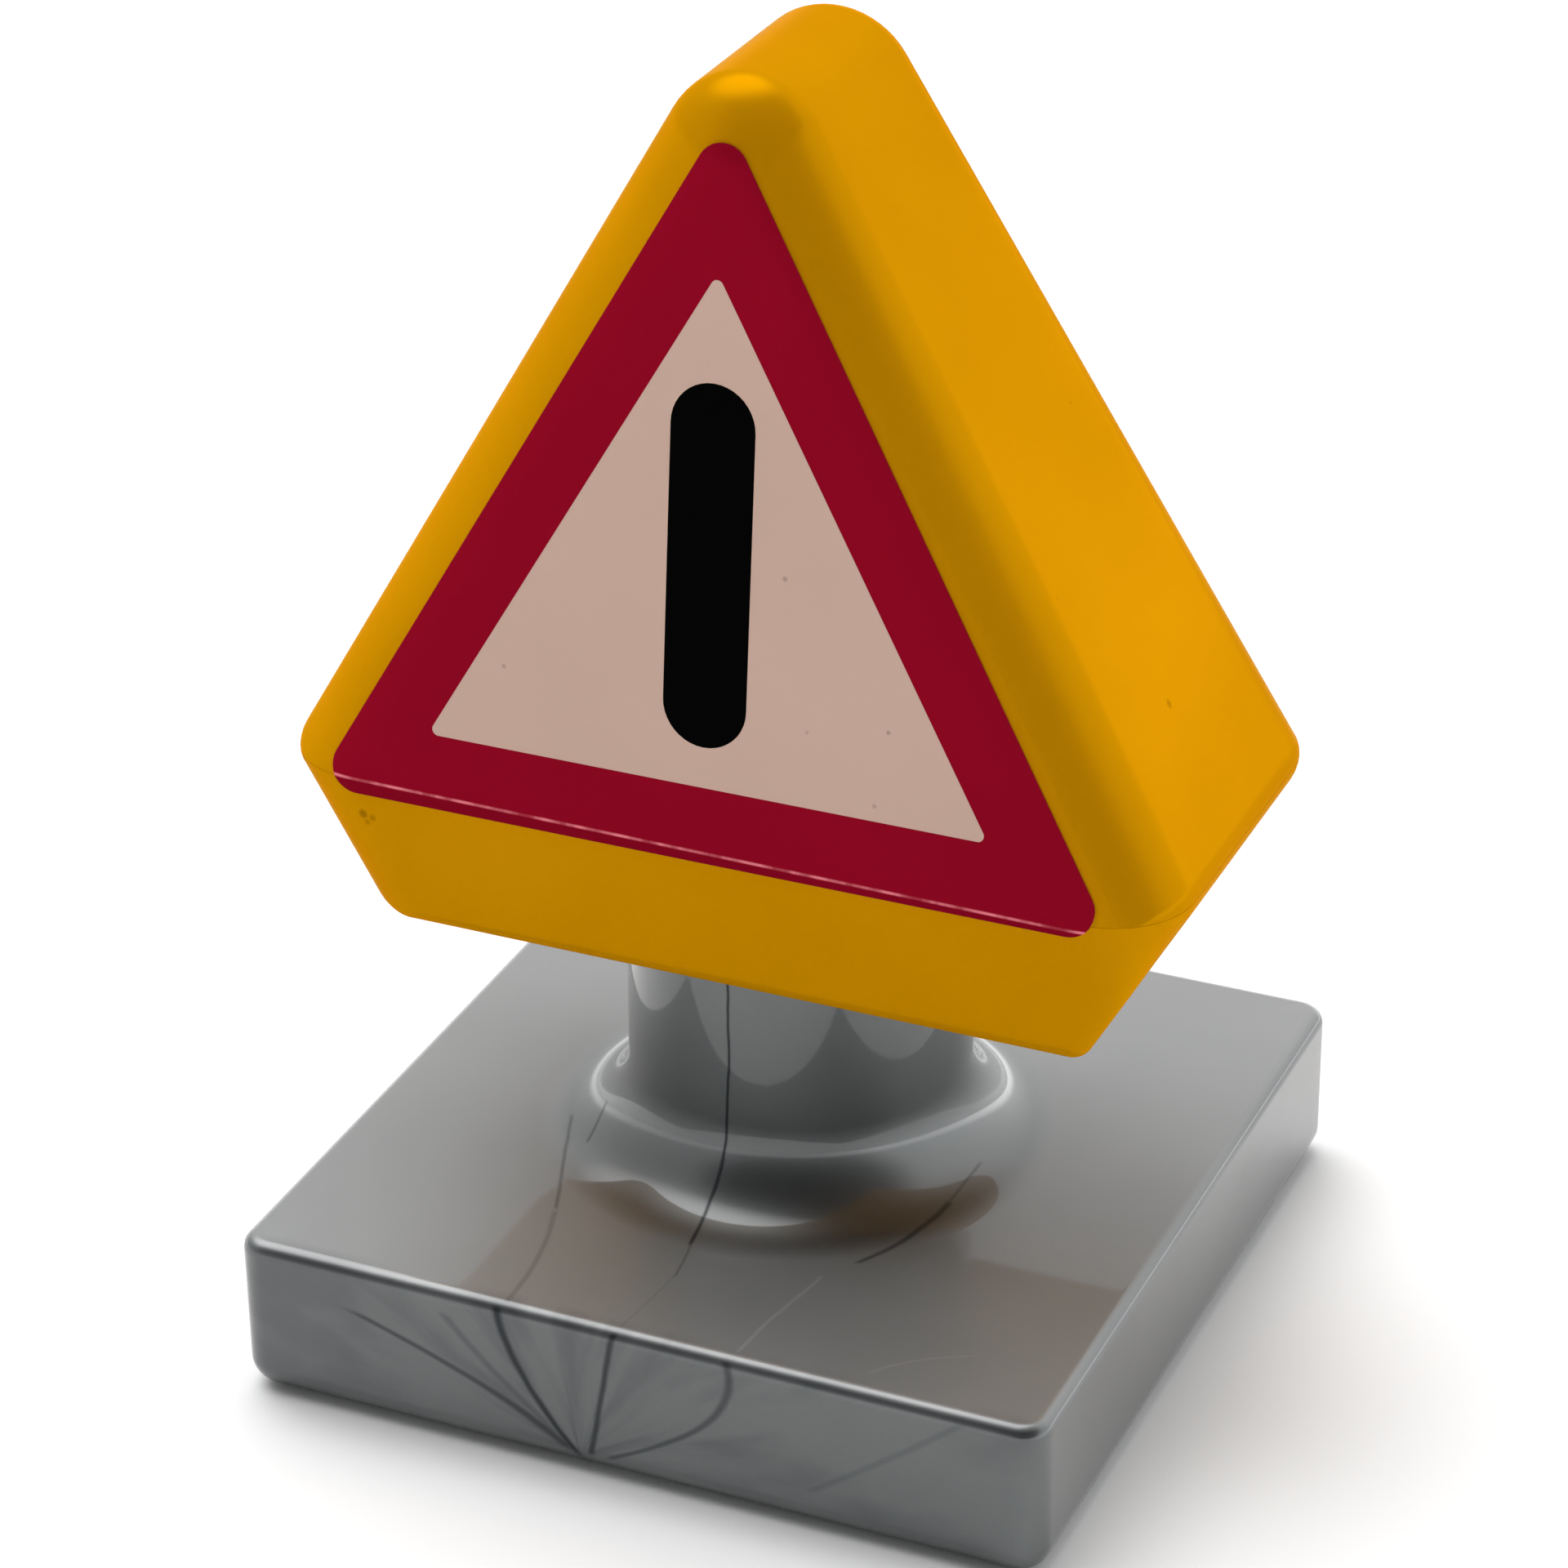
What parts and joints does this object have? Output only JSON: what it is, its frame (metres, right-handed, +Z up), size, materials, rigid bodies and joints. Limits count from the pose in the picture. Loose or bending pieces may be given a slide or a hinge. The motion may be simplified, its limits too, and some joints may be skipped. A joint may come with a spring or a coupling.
{
  "type": "toy road sign",
  "caption": "Small moulded toy road sign: a triangular warning sign head that turns on a post with a flared foot and a square base plate.",
  "frame": {"origin": "middle of the underside of the base plate, which is under the middle of the post", "axes": "+Z up along the post; the printed face of the sign looks along -Y; +X is to the right of a person reading the sign"},
  "size_m": [0.0434, 0.04, 0.0624],
  "materials": {
    "pearl_grey_plastic": "glossy pearl-grey moulded plastic with darker flow lines",
    "cover_plastic": "satin grey moulded plastic",
    "ring_plastic": "satin off-white moulded plastic",
    "yellow_plastic": "glossy golden-yellow moulded plastic",
    "label_red": "glossy dark red printed film",
    "label_white": "off-white print on the label film",
    "label_black": "black print on the label film"
  },
  "bodies": {
    "base": {"base_and_post": "pearl_grey_plastic", "base_cover": "cover_plastic", "retaining_ring": "ring_plastic"},
    "head": {"sign_tray": "yellow_plastic", "sign_hood": "yellow_plastic", "front_label": "label_red"}
  },
  "joints": [
    {"name": "head_turn", "type": "hinge", "parent": "base", "child": "head", "pos_m": [0, 0, 0.0253], "axis": [0, 0, 1], "continuous": true}
  ]
}
